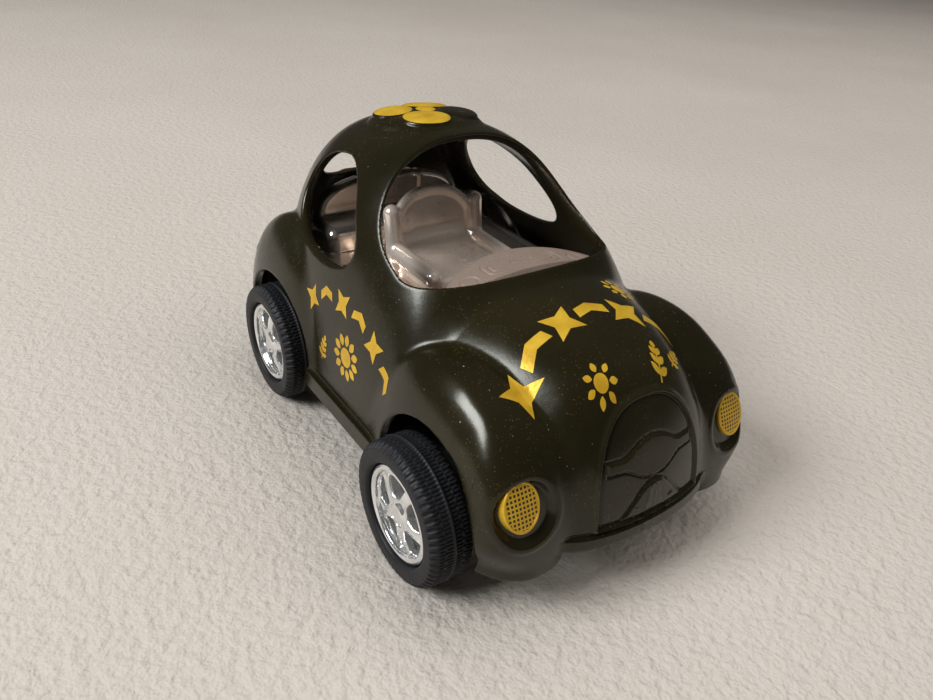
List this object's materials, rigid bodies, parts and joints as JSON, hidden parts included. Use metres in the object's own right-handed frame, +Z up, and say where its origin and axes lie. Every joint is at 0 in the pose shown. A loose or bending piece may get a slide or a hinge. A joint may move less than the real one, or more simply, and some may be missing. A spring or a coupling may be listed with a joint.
{
  "type": "pull-back toy car",
  "caption": "Small rounded pull-back toy saloon: hollow die-cast body over a plated interior, rubber-tyred spoked wheels on steel axles, and a geared spring motor driving the rear axle.",
  "frame": {"origin": "bottom centre of the bounding box, on the ground under the car", "axes": "+Z up, nose towards -Y, +X to the car's left"},
  "size_m": [0.0546, 0.0816, 0.0482],
  "materials": {
    "paint": "gloss",
    "plated": "polished",
    "rubber": "matte",
    "steel": "satin",
    "black_plastic": "matte",
    "nylon": "matte",
    "spring_steel": "satin"
  },
  "bodies": {
    "car": {"body_shell": "paint", "interior_tub": "plated", "chassis": "black_plastic", "screw_front": "steel", "screw_rear": "steel", "motor_case": "black_plastic", "motor_cover": "black_plastic", "idler_pin": "steel", "spring_pin": "steel", "mainspring": "spring_steel"},
    "front_wheels": {"front_axle": "steel", "rim_front_left": "plated", "rim_front_right": "plated", "tyre_front_left": "rubber", "tyre_front_right": "rubber"},
    "rear_wheels": {"rear_axle": "steel", "rim_rear_left": "plated", "rim_rear_right": "plated", "tyre_rear_left": "rubber", "tyre_rear_right": "rubber", "axle_gear": "nylon"},
    "idler": {"idler_gear": "nylon"},
    "winder": {"spring_gear": "nylon"}
  },
  "joints": [
    {"name": "front_axle_spin", "type": "hinge", "parent": "car", "child": "front_wheels", "pos_m": [0, -0.02289, 0.0097], "axis": [1, 0, 0], "continuous": true},
    {"name": "rear_axle_spin", "type": "hinge", "parent": "car", "child": "rear_wheels", "pos_m": [0, 0.02281, 0.0097], "axis": [1, 0, 0], "continuous": true},
    {"name": "idler_spin", "type": "hinge", "parent": "car", "child": "idler", "pos_m": [0, 0.01581, 0.0131], "axis": [1, 0, 0], "continuous": true},
    {"name": "winder_spin", "type": "hinge", "parent": "car", "child": "winder", "pos_m": [0, 0.00708, 0.0147], "axis": [1, 0, 0], "continuous": true}
  ],
  "couplings": [
    {"joint": "idler_spin", "follows": "rear_axle_spin", "ratio": -0.55556},
    {"joint": "winder_spin", "follows": "rear_axle_spin", "ratio": 0.18518}
  ]
}
